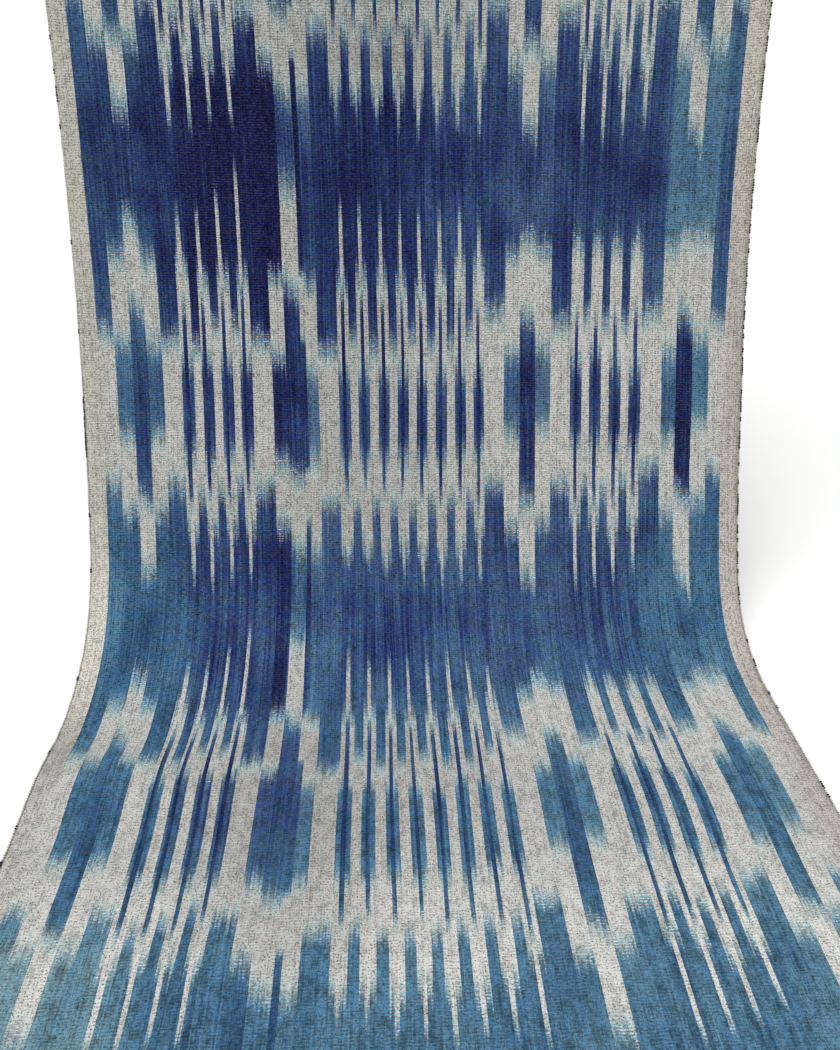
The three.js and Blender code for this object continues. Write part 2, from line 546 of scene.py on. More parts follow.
@dataclass(frozen=True)
class WarpPlan:
    """The whole warp as bands of threads from selvedge to selvedge."""

    repeat: float = 268.0
    width: float = 400.0
    left_selvedge: float = 10.8
    right_selvedge: float = 388.2
    last_ground_light: tuple[float, float] = (412, 500)
    last_ground_fall: float = 8.0
    lone_line_motif: int = 5
    lone_line_width: float = 3.0
    lone_line: tuple[tuple[float, float], tuple[float, float]] = ((280, 386), (428, 508))
    pale_side_width: float = 6.8
    pale_side: tuple[tuple[float, float], tuple[float, float]] = ((296, 394), (443, 503))
    feather: float = 14.0
    wide_core_feather: float = 15.0
    core_feather: float = 12.0
    line_feather: float = 6.0
    widest_thin_core: float = 5.0
    lying_starts: float = 640.0
    lying_from: float = 700.0
    lying_feather_loss: float = 0.3
    lying_bar_depth: float = 0.62
    lying_bar_share: float = 0.4
    lying_thin_gain: float = 0.05
    belt_gain: float = 0.02
    bar_loss: float = 0.01
    never: float = -500.0
    stray: float = 1.1
    stray_across: float = 26.0
    stray_along: float = 95.0
    stray_seed: float = 3.0
    drift_above: tuple[float, float] = (-2.2, -0.88)
    drift_below: tuple[float, float] = (0.2, 2.4)

    def stretch(self, start: float, end: float) -> tuple[float, float]:
        """Turn a dyed stretch into its middle and its half length."""
        return (start + end) / 2, (end - start) / 2

    def ground(self, light: tuple[float, float], fall: float) -> tuple[float, float, float, float]:
        """Give a ground stripe's dyed stretch, from one light stretch to the next, and no second one."""
        return *self.stretch(light[1] + fall, light[0] + fall + self.repeat), 0.0, self.never

    def plain(self, left: float, right: float) -> Band:
        """Make a band that was never dyed."""
        bare = (0.0, self.never, 0.0, self.never)
        return Band(left, right, bare, bare, self.feather, (0.5, 0.5))

    def motif_bands(self, row: int, motif: Motif) -> list[Band]:
        """Make the bands of one motif.

        Args:
            row: the motif's number in the chart.
            motif: the motif.

        Returns:
            Its left shoulder, core and right shoulder, and the lone dark line where it has one.
        """
        left, core_left, core_right, right = motif.edges
        side = (*self.stretch(*motif.side_belt), *self.stretch(*motif.side_bar))
        lower = (side[0] + motif.side_fall, side[1], side[2] + motif.side_fall, side[3])
        ends = (*motif.core_belt, *motif.core_bar)
        core_from, core_to = (
            [end + side * slant / 2 for end, slant in zip(ends, motif.slants)] for side in (-1, 1)
        )
        core_from, core_to = (
            (*self.stretch(*edge[:2]), *self.stretch(*edge[2:])) for edge in (core_from, core_to)
        )
        core_bath, left_bath, right_bath = (
            (belt_bath.value, bar_bath.value) for belt_bath, bar_bath in (motif.core, motif.left, motif.right)
        )
        wide = core_right - core_left > self.widest_thin_core
        core_feather = self.wide_core_feather if wide else self.core_feather
        bands = [
            Band(left, core_left, side, side, self.feather, left_bath),
            Band(core_left, core_right, core_from, core_to, core_feather, core_bath, thin=not wide),
        ]
        if row == self.lone_line_motif:
            line = (*self.stretch(*self.lone_line[0]), *self.stretch(*self.lone_line[1]))
            end = core_right + self.lone_line_width
            depth = (Bath.NIGHT.value, Bath.DEEP.value)
            bands.append(Band(core_right, end, line, line, self.line_feather, depth))
            pale = (*self.stretch(*self.pale_side[0]), *self.stretch(*self.pale_side[1]))
            depth = (Bath.INDIGO.value, Bath.PALE.value)
            bands.append(Band(end, end + self.pale_side_width, pale, pale, self.feather, depth))
        else:
            bands.append(Band(core_right, right, lower, lower, self.feather, right_bath))
        return bands

    def bands(self) -> list[Band]:
        """List all bands.

        Returns:
            The bands in order across the cloth, from the left selvedge.
        """
        made = [self.plain(0.0, self.left_selvedge)]
        for row, motif in enumerate(CHART):
            before = self.ground(motif.ground_light, 0.0)
            after = self.ground(motif.ground_light, motif.ground_fall)
            depth = (motif.ground.value, 0.0)
            made.append(Band(made[-1].right, motif.edges[0], before, after, self.feather, depth))
            made.extend(self.motif_bands(row, motif))
        before = self.ground(self.last_ground_light, 0.0)
        after = self.ground(self.last_ground_light, self.last_ground_fall)
        depth = (Bath.INDIGO.value, 0.0)
        made.append(Band(made[-1].right, self.right_selvedge, before, after, self.core_feather, depth))
        made.append(self.plain(self.right_selvedge, self.width))
        return made

    def bath_at(self, band: Band, across: float, along: float) -> tuple[float, float, float, float]:
        """Find how the dye took on one band: the blue grows paler, partly as painted light, and greener
        towards the front end.

        Args:
            band: the band.
            across: place across the cloth, from the left selvedge.
            along: place along the cloth, from its top edge.

        Returns:
            Length of the feathered ends, depth of the belt and of the bar, and how green the blue is.
        """
        kept_depth_and_light = 1 + total(DEPTH_AND_PAINTED_LIGHT, across, along)
        if not band.has_bar:
            kept_depth_and_light *= 1 + total(GROUND_SHADES, across, along)
        belt, bar = (depth * kept_depth_and_light for depth in band.bath)
        lying = smooth_step(along, self.lying_starts, self.lying_from)
        if band.thin:
            bar += self.lying_thin_gain * lying
        else:
            bar += (self.lying_bar_depth - bar) * self.lying_bar_share * lying - self.bar_loss
        green = min(1.0, total(GREEN_SHADES, across, along))
        return band.feather * (1 - self.lying_feather_loss * lying), belt + self.belt_gain, bar, green

    def bare_and_painted_light_at(self, across: float, along: float) -> tuple[float, float, float, float]:
        """Find the shade of the undyed yarn: warm at the selvedges, neutral between the motifs, with painted
        light and shade on the left selvedge at the bend.

        Args:
            across: place across the cloth, from the left selvedge.
            along: place along the cloth, from its top edge.

        Returns:
            Shares of red, green and blue, and how strongly the single threads show.
        """
        light = total(BARE_TONE_AND_PAINTED_LIGHT, across, along)
        green, blue = light * total(BARE_GREEN, across, along), light * total(BARE_BLUE, across, along)
        return light, green, blue, total(THREAD_SHADES, across, along)

    def dyed_at(self, band: Band, across: float, along: float) -> Vector:
        """Find the dyed stretches of one band at one place, which change a little from repeat to repeat.

        Args:
            band: the band.
            across: place across the cloth, from the left selvedge.
            along: place along the cloth, from its top edge.

        Returns:
            The belt's middle and half length and then the bar's.
        """
        share = (across - band.left) / (band.right - band.left)
        stretches = Vector(band.dyed_left).lerp(Vector(band.dyed_right), share)
        if band.has_bar:
            stretches[0] += total(BELT_SHIFT, across, along)
            stretches[1] += total(BELT_GROWTH, across, along)
            stretches[3] += total(BAR_GROWTH, across, along)
        return stretches

    def wander_at(self, across: float, along: float) -> float:
        """Find how far the threads stray sideways, as they do on a hand loom.

        Args:
            across: place across the cloth, from the left selvedge.
            along: place along the cloth, from its top edge.

        Returns:
            The sideways shift, nothing at the selvedges.
        """
        inside = max(0.0, math.sin(math.pi * across / self.width)) ** 0.5
        place = Vector((across / self.stray_across, along / self.stray_along, self.stray_seed))
        shift = self.stray * noise.noise(place)
        above, below = 1 - smooth_step(along, 200, 460), smooth_step(along, 560, 730)
        for share, (left, right) in ((above, self.drift_above), (below, self.drift_below)):
            shift += share * (left + (right - left) * across / self.width)
        return inside * shift


@dataclass(frozen=True)
class Unevenness:
    """One kind of unevenness in yarn or dye: the size of its cells on the cloth and its finer detail."""

    across: float
    along: float
    detail: float = 0.0


@dataclass(frozen=True)
class Swing:
    """How strongly one unevenness lightens and darkens yarn, in doublings, from undyed to deeply dyed."""

    name: str
    bare: float
    dyed: float
    full_depth: float


@dataclass(frozen=True)
class IkatCotton:
    """Handwoven cotton in plain weave, warp tied and dyed in indigo before it was woven.

    The eye sees crisp band edges along the warp, feathered dye ends crossed by pale dashes of weft,
    fine ribs, dark flecks of seed husk in the undyed yarn, and matt depth with little sheen.
    """

    name: str = "handwoven_cotton_indigo_warp_ikat"
    repeat: float = 268.0
    rib_pitch: float = 1.4
    # Threads of the real warp lie about 0.4 mm apart: drawn in pairs, as single ones would not show.
    # Each kind's number in this list of fields turns it, so new fields go below them
    hair: Unevenness = Unevenness(0.8, 60.0)
    bundle: Unevenness = Unevenness(2.4, 46.0, 1.0)
    shade: Unevenness = Unevenness(1.3, 80.0, 2.0)
    streak: Unevenness = Unevenness(0.8, 70.0, 2.0)
    mottle: Unevenness = Unevenness(5.5, 7.0, 2.0)
    warp_grain: Unevenness = Unevenness(0.5, 2.6, 2.0)
    weft_grain: Unevenness = Unevenness(2.6, 0.5, 1.0)
    dash: Unevenness = Unevenness(1.5, 0.9)
    husk: Unevenness = Unevenness(0.8, 0.6)
    sway: Unevenness = Unevenness(14.0, 9.0, 1.0)
    cloud: Unevenness = Unevenness(30.0, 38.0, 2.0)
    patch: Unevenness = Unevenness(27.0, 17.0, 1.0)
    tint: Unevenness = Unevenness(3.4, 4.2, 1.0)
    # How far bundles slipped along the cloth, and single threads and the dye as shares of the feather
    bundle_slip: float = 9.0
    thread_slip: float = 0.9
    creep: float = 0.9
    # The dye took in full this far inside a stretch: share of the bath at its end, and there
    soak_length: float = 38.0
    soak: tuple[float, float] = (0.85, 1.05)
    depth_swings: tuple[tuple[str, float], ...] = (("cloud", 0.45), ("shade", 0.6), ("mottle", 0.45))
    # What makes a blue steely: patches, stripes and the band's own green. Depth makes it violet
    patch_tint: float = 1.2
    stripe_tint: float = 0.5
    violet_depth: float = 1.1
    tint_start: float = -0.05
    # Undyed yarn that is left where next to no dye took: how much, and up to which depth
    bare_left: float = 0.8
    bare_until: float = 0.12
    # Pale dashes of weft: where along the groove's height and in which cells they show, and how clearly
    groove: tuple[float, float] = (0.8, 0.15)
    dash_cells: tuple[float, float] = (0.25, 0.6)
    dash_fade: float = 0.985
    dash_strength: float = 3.4
    weft_sway: float = 0.9
    thread_swings: tuple[Swing, ...] = (
        Swing("warp_grain", bare=3.0, dyed=4.2, full_depth=0.8),
        Swing("weft_grain", bare=3.0, dyed=4.2, full_depth=0.8),
        Swing("streak", bare=2.4, dyed=3.0, full_depth=0.6),
    )
    blot_swing: Swing = Swing("mottle", bare=1.4, dyed=3.6, full_depth=0.6)
    # Painted shade of the weft ribs: how much lighter the ribs are drawn than the grooves, in doublings, in
    # undyed yarn and from the depth below on
    ridge: tuple[float, float] = (0.35, 1.0)
    ridge_depth: float = 0.5
    # No thread gets more doublings lighter than this, in undyed and in dyed yarn of these depths
    limits: tuple[float, float] = (0.35, 0.95)
    limit_depths: tuple[float, float] = (0.2, 0.6)
    limit_softness: float = 0.4
    husk_cells: tuple[float, float] = (0.69, 0.76)
    husk_strength: float = 0.85
    husk_colour: str = "#34322f"
    pinkish: str = "#b1a8a6"
    greenish: str = "#a4aba5"
    violet_steps: tuple[tuple[float, str], ...] = (
        (0.0, "#a4a49f"),
        (0.12, "#98a39b"),
        (0.28, "#6c8284"),
        (0.42, "#475f6e"),
        (0.55, "#394f69"),
        (0.65, "#2c4160"),
        (0.75, "#203258"),
        (0.85, "#14204a"),
        (1.0, "#060d33"),
    )
    steel_steps: tuple[tuple[float, str], ...] = (
        (0.0, "#a4a6a3"),
        (0.12, "#98a4a1"),
        (0.28, "#6b868d"),
        (0.42, "#48697a"),
        (0.55, "#36586f"),
        (0.65, "#2b4b65"),
        (0.75, "#213d5a"),
        (0.85, "#172e4d"),
        (1.0, "#0d1c3f"),
    )
    relief: float = 0.13

    def build(self) -> bpy.types.Material:
        """Make the material.

        Returns:
            The cotton, ready for a piece with the map "cloth" and the attributes "dyed", "bath" and "bare".
        """
        material = bpy.data.materials.new(self.name)
        material.use_nodes = True
        tree = material.node_tree
        tree.nodes.clear()
        uv = add_node(tree, "UVMap", out="UV", uv_map="cloth")
        place = add_node(tree, "VectorMath", {0: uv, 1: (1000, 1000, 0)}, operation="MULTIPLY")
        noises = self.noises(tree, place)
        rib = self.ribs(tree, place, noises["sway"])
        strength, depth = self.dye(tree, place, noises)
        colour = self.colour(tree, strength, depth, rib, noises)
        grain = add_node(
            tree, "Math", {0: noises["warp_grain"], 1: noises["weft_grain"]}, operation="ADD"
        )
        height = add_node(tree, "Math", {0: grain, 1: 0.9, 2: rib}, operation="MULTIPLY_ADD")
        bump = add_node(
            tree,
            "Bump",
            {"Strength": 0.9, "Distance": self.relief * MM, "Height": height},
            "Normal",
        )
        shader = add_node(
            tree,
            "BsdfPrincipled",
            {
                "Base Color": colour,
                "Roughness": 0.9,
                "IOR": 1.45,
                "Specular IOR Level": 0.02,
                "Normal": bump,
            },
            "BSDF",
        )
        add_node(tree, "OutputMaterial", {"Surface": shader})
        return material

    def noises(
        self, tree: bpy.types.NodeTree, place: bpy.types.NodeSocket
    ) -> dict[str, bpy.types.NodeSocket]:
        """Draw every kind of unevenness, turned askew so that no grid of cells shows.

        Args:
            tree: the node tree.
            place: the place on the cloth, in millimetres.

        Returns:
            A value from 0 to 1 for each, by its name.
        """
        drawn = {}
        for turn, (name, kind) in enumerate(vars(self).items()):
            if isinstance(kind, Unevenness):
                scale, askew = (1 / kind.across, 1 / kind.along, 1.0), (0.0, 0.0, 0.5 + turn)
                cell = {"Vector": place, "Scale": scale, "Rotation": askew}
                at = add_node(tree, "Mapping", cell)
                settings = {"Vector": at, "Scale": 1.0, "Detail": kind.detail, "Roughness": 0.55}
                drawn[name] = add_node(tree, "TexNoise", settings, noise_dimensions="2D")
        return drawn

    def ribs(
        self, tree: bpy.types.NodeTree, place: bpy.types.NodeSocket, sway: bpy.types.NodeSocket
    ) -> bpy.types.NodeSocket:
        """Draw the ribs that the weft makes under the warp.

        Args:
            tree: the node tree.
            place: the place on the cloth, in millimetres.
            sway: how the weft strays from a straight line.

        Returns:
            One on a rib, nothing in the groove between two.
        """
        along = add_node(tree, "SeparateXYZ", {0: place}, "Y")
        at = add_node(tree, "Math", {0: sway, 1: self.weft_sway, 2: along}, operation="MULTIPLY_ADD")
        turn = add_node(tree, "Math", {0: at, 1: math.tau / self.rib_pitch}, operation="MULTIPLY")
        wave = add_node(tree, "Math", {0: turn}, operation="SINE")
        return add_node(tree, "Math", {0: wave, 1: 0.5, 2: 0.5}, operation="MULTIPLY_ADD")

    def dye(
        self, tree: bpy.types.NodeTree, place: bpy.types.NodeSocket, noises: dict[str, bpy.types.NodeSocket]
    ) -> tuple[bpy.types.NodeSocket, bpy.types.NodeSocket]:
        """Draw the dyed stretches with their feathered ends, and how deep the blue is.

        Args:
            tree: the node tree.
            place: the place on the cloth, in millimetres.
            noises: the kinds of unevenness, by name.

        Returns:
            How much of the dye took, and the depth of colour, both from 0 to 1.
        """
        along = add_node(tree, "SeparateXYZ", {0: place}, "Y")
        bath = add_node(tree, "Attribute", out="Vector", attribute_name="bath")
        feather = add_node(tree, "SeparateXYZ", {0: bath}, "X")
        start = add_node(tree, "Math", {0: feather, 1: -self.creep}, operation="MULTIPLY")
        slips = []
        for name, slip in (("bundle", self.bundle_slip), ("hair", self.thread_slip)):
            centred = {0: noises[name], 1: slip, 2: -slip / 2}
            slips.append(add_node(tree, "Math", centred, operation="MULTIPLY_ADD"))
        shifted = add_node(tree, "Math", {0: along, 1: slips[0]}, operation="ADD")
        hair = add_node(tree, "Math", {0: slips[1], 1: feather}, operation="MULTIPLY")

        dyed = add_node(tree, "Attribute", out="Vector", attribute_name="dyed")
        bar_half = add_node(tree, "Attribute", out="Alpha", attribute_name="dyed")
        belt_middle, belt_half, bar_middle = (
            add_node(tree, "SeparateXYZ", {0: dyed}, axis) for axis in "XYZ"
        )
        strengths, depths = [], []
        for middle, half, axis in ((belt_middle, belt_half, "Y"), (bar_middle, bar_half, "Z")):
            off = add_node(tree, "Math", {0: shifted, 1: middle}, operation="SUBTRACT")
            wrapped = {0: off, 1: self.repeat / 2, 2: -self.repeat / 2}
            off = add_node(tree, "Math", wrapped, operation="WRAP")
            off = add_node(tree, "Math", {0: off}, operation="ABSOLUTE")
            inside = add_node(tree, "Math", {0: half, 1: off}, operation="SUBTRACT")
            inside = add_node(tree, "Math", {0: inside, 1: hair}, operation="ADD")
            fade = {0: inside, 1: start, 2: feather}
            took = add_node(tree, "MapRange", fade, interpolation_type="SMOOTHSTEP")
            full = add_node(tree, "SeparateXYZ", {0: bath}, axis)
            deeper = {0: inside, 1: 0.0, 2: self.soak_length, 3: self.soak[0], 4: self.soak[1]}
            soak = add_node(tree, "MapRange", deeper)
            full = add_node(tree, "Math", {0: full, 1: soak}, operation="MULTIPLY")
            strengths.append(took)
            depths.append(add_node(tree, "Math", {0: took, 1: full}, operation="MULTIPLY"))
        strength = add_node(tree, "Math", dict(enumerate(strengths)), operation="MAXIMUM")
        depth = add_node(tree, "Math", dict(enumerate(depths)), operation="MAXIMUM")
        uneven = 1 - sum(swing for _, swing in self.depth_swings) / 2
        for name, swing in self.depth_swings:
            uneven = add_node(tree, "Math", {0: noises[name], 1: swing, 2: uneven}, operation="MULTIPLY_ADD")
        depth = add_node(tree, "Math", {0: depth, 1: uneven}, operation="MULTIPLY", use_clamp=True)
        return strength, depth

    def colour(
        self,
        tree: bpy.types.NodeTree,
        strength: bpy.types.NodeSocket,
        depth: bpy.types.NodeSocket,
        rib: bpy.types.NodeSocket,
        noises: dict[str, bpy.types.NodeSocket],
    ) -> bpy.types.NodeSocket:
        """Mix the colour of dyed and undyed yarn, with weft dashes, grain, streaks and husks.

        Args:
            tree: the node tree.
            strength: how much of the dye took.
            depth: depth of colour.
            rib: ribs of the weft.
            noises: the kinds of unevenness, by name.

        Returns:
            The colour.
        """
        green = add_node(tree, "Attribute", out="Alpha", attribute_name="bath")
        parts = [(noises["patch"], self.patch_tint), (noises["shade"], self.stripe_tint)]
        parts += [(green, 1.0), (depth, -self.violet_depth)]
        tone = self.tint_start
        for part, share in parts:
            tone = add_node(tree, "Math", {0: part, 1: share, 2: tone}, operation="MULTIPLY_ADD")
        blues = []
        for steps in (self.violet_steps, self.steel_steps):
            blue = add_node(tree, "ValToRGB", {0: depth}, "Color")
            elements = blue.node.color_ramp.elements
            while len(elements) < len(steps):
                elements.new(0.5)
            for element, (at, code) in zip(elements, steps):
                element.position, element.color = at, linear(code)
            blues.append(blue)
        dyed = add_node(tree, "Mix", {0: tone, 6: blues[0], 7: blues[1]}, 2, data_type="RGBA")

        specks = {0: noises["tint"], 6: linear(self.pinkish), 7: linear(self.greenish)}
        bare = add_node(tree, "Mix", specks, 2, data_type="RGBA")
        # The undyed yarn's tone by place, with painted light and shade on the left selvedge at the bend
        bare_tone_and_painted_light = add_node(tree, "Attribute", out="Vector", attribute_name="bare")
        bare = add_node(tree, "VectorMath", {0: bare, 1: bare_tone_and_painted_light}, operation="MULTIPLY")
        fade = {0: depth, 1: 0.0, 2: self.bare_until, 3: self.bare_left, 4: 0.0}
        left_bare = add_node(tree, "MapRange", fade)
        dyed = add_node(tree, "Mix", {0: left_bare, 6: dyed, 7: bare}, 2, data_type="RGBA")

        # Where the dye only half took, the undyed weft shows as pale dashes in the grooves
        groove, dash = (
            add_node(tree, "MapRange", {0: height, 1: start, 2: end, 3: 0.0, 4: 1.0})
            for height, (start, end) in ((rib, self.groove), (noises["dash"], self.dash_cells))
        )
        dash = add_node(tree, "Math", {0: groove, 1: dash}, operation="MULTIPLY")
        half = add_node(tree, "Math", {0: -self.dash_fade, 1: strength, 2: 1.0}, operation="MULTIPLY_ADD")
        half = add_node(tree, "Math", {0: half, 1: strength}, operation="MULTIPLY")
        dash = add_node(tree, "Math", {0: dash, 1: half}, operation="MULTIPLY")
        dash = add_node(tree, "Math", {0: dash, 1: self.dash_strength}, operation="MULTIPLY", use_clamp=True)
        yarn = add_node(tree, "Mix", {0: dash, 6: dyed, 7: bare}, 2, data_type="RGBA")

        # Light and dark of the threads, in doublings: stronger in the blue than in the undyed yarn. The ribs
        # add painted shade, darker in the grooves between them and lighter on their tops
        clear = add_node(tree, "Attribute", out="Alpha", attribute_name="bare")
        ridge = {0: depth, 1: 0.0, 2: self.ridge_depth, 3: self.ridge[0], 4: self.ridge[1]}
        ridge = add_node(tree, "MapRange", ridge)
        light = add_node(tree, "Math", {0: rib, 1: ridge}, operation="MULTIPLY")
        for kind in self.thread_swings:
            light = self.swung(tree, light, depth, kind, noises)
        light = add_node(tree, "Math", {0: light, 1: clear}, operation="MULTIPLY")
        light = self.swung(tree, light, depth, self.blot_swing, noises)
        # A soft upper limit, so that no thread glints
        limit = {0: depth} | dict(enumerate((*self.limit_depths, *self.limits), start=1))
        limit = add_node(tree, "MapRange", limit)
        light = add_node(tree, "Math", {0: light, 1: limit, 2: self.limit_softness}, operation="SMOOTH_MIN")
        light = add_node(tree, "Math", {0: 2.0, 1: light}, operation="POWER")
        yarn = add_node(tree, "VectorMath", {0: yarn, "Scale": light}, operation="SCALE")

        low, high = self.husk_cells
        husk = add_node(tree, "MapRange", {0: noises["husk"], 1: low, 2: high, 3: 0.0, 4: self.husk_strength})
        husk = {0: husk, 6: yarn, 7: linear(self.husk_colour)}
        return add_node(tree, "Mix", husk, 2, data_type="RGBA")

    def swung(
        self,
        tree: bpy.types.NodeTree,
        light: bpy.types.NodeSocket,
        depth: bpy.types.NodeSocket,
        kind: Swing,
        noises: dict[str, bpy.types.NodeSocket],
    ) -> bpy.types.NodeSocket:
        """Add one unevenness to the light and dark of the yarn.

        Args:
            tree: the node tree.
            light: light and dark so far, in doublings.
            depth: depth of colour.
            kind: the unevenness and its strength.
            noises: the kinds of unevenness, by name.

        Returns:
            Light and dark with it.
        """
        swing = add_node(tree, "MapRange", {0: depth, 1: 0.0, 2: kind.full_depth, 3: kind.bare, 4: kind.dyed})
        off = add_node(tree, "Math", {0: noises[kind.name], 1: 0.5}, operation="SUBTRACT")
        return add_node(tree, "Math", {0: off, 1: swing, 2: light}, operation="MULTIPLY_ADD")


@dataclass(frozen=True)
class SelvedgeCotton:
    """Undyed cotton weft where it turns at the selvedge; some turns are painted dark as shade for the shadows
    in the notches between turns.

    The eye sees a fine beaded edge, pale with short dark gaps.
    """

    name: str = "handspun_cotton_selvedge"
    pale: str = "#c6c0b2"
    # Painted shade: the colour of the turns drawn dark for the shadows between them
    dark: str = "#34312c"
    fluff_scale: float = 1400.0
    fluff_height: float = 0.1

    def build(self) -> bpy.types.Material:
        """Make the material.

        Returns:
            The cotton, ready for a piece with the attribute "tone": 0 for pale, 1 for the painted shade.
        """
        material = bpy.data.materials.new(self.name)
        material.use_nodes = True
        tree = material.node_tree
        tree.nodes.clear()
        tone = add_node(tree, "Attribute", out="Fac", attribute_name="tone")
        place = add_node(tree, "TexCoord", out="Object")
        fluff = add_node(tree, "TexNoise", {"Vector": place, "Scale": self.fluff_scale}, "Fac")
        colours = {0: tone, 6: linear(self.pale), 7: linear(self.dark)}
        yarn = add_node(tree, "Mix", colours, 2, data_type="RGBA")
        light = add_node(tree, "MapRange", {0: fluff, 1: 0.2, 2: 0.8, 3: 0.7, 4: 1.25})
        colour = add_node(tree, "VectorMath", {0: yarn, "Scale": light}, operation="SCALE")
        bump = {"Strength": 0.4, "Distance": self.fluff_height * MM, "Height": fluff}
        bump = add_node(tree, "Bump", bump, "Normal")
        settings = {"Base Color": colour, "Roughness": 0.92, "Specular IOR Level": 0.2, "Normal": bump}
        shader = add_node(tree, "BsdfPrincipled", settings, "BSDF")
        add_node(tree, "OutputMaterial", {"Surface": shader})
        return material


@dataclass
class IkatCloth:
    """The cloth: one thin closed sheet on the sweep, its columns set along the edges of the bands."""

    sweep: Sweep = field(default_factory=Sweep)
    plan: WarpPlan = field(default_factory=WarpPlan)
    finish: IkatCotton = field(default_factory=IkatCotton)
    thickness: float = 0.7
    column_width: float = 4.2
    row_length: float = 3.6
    edge_waver: float = 0.25
    waver_length: float = 9.0

    def columns(self) -> tuple[list[float], list[Band]]:
        """Set out the columns.

        Returns:
            Their edges from the left selvedge, and the band of each column.
        """
        edges = [0.0]
        owners = []
        for band in self.plan.bands():
            count = max(1, math.ceil((band.right - band.left) / self.column_width))
            for step in range(1, count + 1):
                edges.append(band.left + (band.right - band.left) * step / count)
                owners.append(band)
        return edges, owners

    def rows(self) -> list[float]:
        """Set out the rows, from the top edge."""
        count = round(self.sweep.length / self.row_length)
        return [self.sweep.length * step / count for step in range(count + 1)]

    def surface(self, edges: list[float], rows: list[float]) -> list[list[Vector]]:
        """Work out the middle of the sheet at each crossing of a column's edge and a row.

        Args:
            edges: edges of the columns, from the left selvedge.
            rows: the rows, from the top edge.

        Returns:
            Places in metres, in columns of rows.
        """
        half = self.sweep.width / 2
        top_y, top_z, _ = self.sweep.side_profile(0.0, rows)[0]
        places = []
        for edge in edges:
            profile = self.sweep.side_profile(edge - half, rows)
            on_edge = edge in (0.0, self.sweep.width)
            column = []
            for along, (y, z, lean) in zip(rows, profile):
                across = edge - half + self.plan.wander_at(edge, along)
                if on_edge:
                    across += self.edge_waver * noise.noise(Vector((edge, along / self.waver_length, 0.0)))
                out = self.sweep.lift_at(edge - half, along) + self.thickness / 2
                place = (across, y - top_y - math.cos(lean) * out, z - top_z + math.sin(lean) * out)
                column.append(Vector(place) * MM)
            places.append(column)
        return places

    def build(self) -> bpy.types.Object:
        """Build the sheet, dress it and tie it to the frame.

        Returns:
            The cloth.
        """
        edges, owners = self.columns()
        rows = self.rows()
        places = self.surface(edges, rows)
        wide, tall = len(edges) - 1, len(rows) - 1
        bm = bmesh.new()
        bmesh.ops.create_grid(bm, x_segments=wide, y_segments=tall, size=0.5)
        crossing = {}
        for vert in bm.verts:
            column, row = round((vert.co.x + 0.5) * wide), round((0.5 - vert.co.y) * tall)
            crossing[vert] = (column, row)
            vert.co = places[column][row]
        uv = bm.loops.layers.uv.new("cloth")
        dyed = bm.loops.layers.float_color.new("dyed")
        bath = bm.loops.layers.float_color.new("bath")
        bare = bm.loops.layers.float_color.new("bare")
        for face in bm.faces:
            face.smooth = True
            band = owners[min(crossing[vert][0] for vert in face.verts)]
            for loop in face.loops:
                at, row = crossing[loop.vert]
                here = (edges[at], rows[row])
                loop[uv].uv = [value * MM for value in here]
                loop[dyed] = self.plan.dyed_at(band, *here)
                loop[bath] = self.plan.bath_at(band, *here)
                loop[bare] = self.plan.bare_and_painted_light_at(*here)
        cloth = finish_mesh(bm, "ikat_cloth_woven", self.finish.build())
        solid = cloth.modifiers.new("thickness", "SOLIDIFY")
        solid.thickness = self.thickness * MM
        solid.offset = 0.0
        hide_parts(CLOTH_NODE)
        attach(cloth, "root")
        LOG.info("cloth: %d columns, %d rows, %d bands", wide, tall, len(self.plan.bands()))
        return cloth


@dataclass(frozen=True)
class DarkStretch:
    """A stretch of one selvedge, given by its place across the cloth, and how often its turns are painted
    dark as shade.
    """

    edge: float
    start: float
    end: float
    chance: float


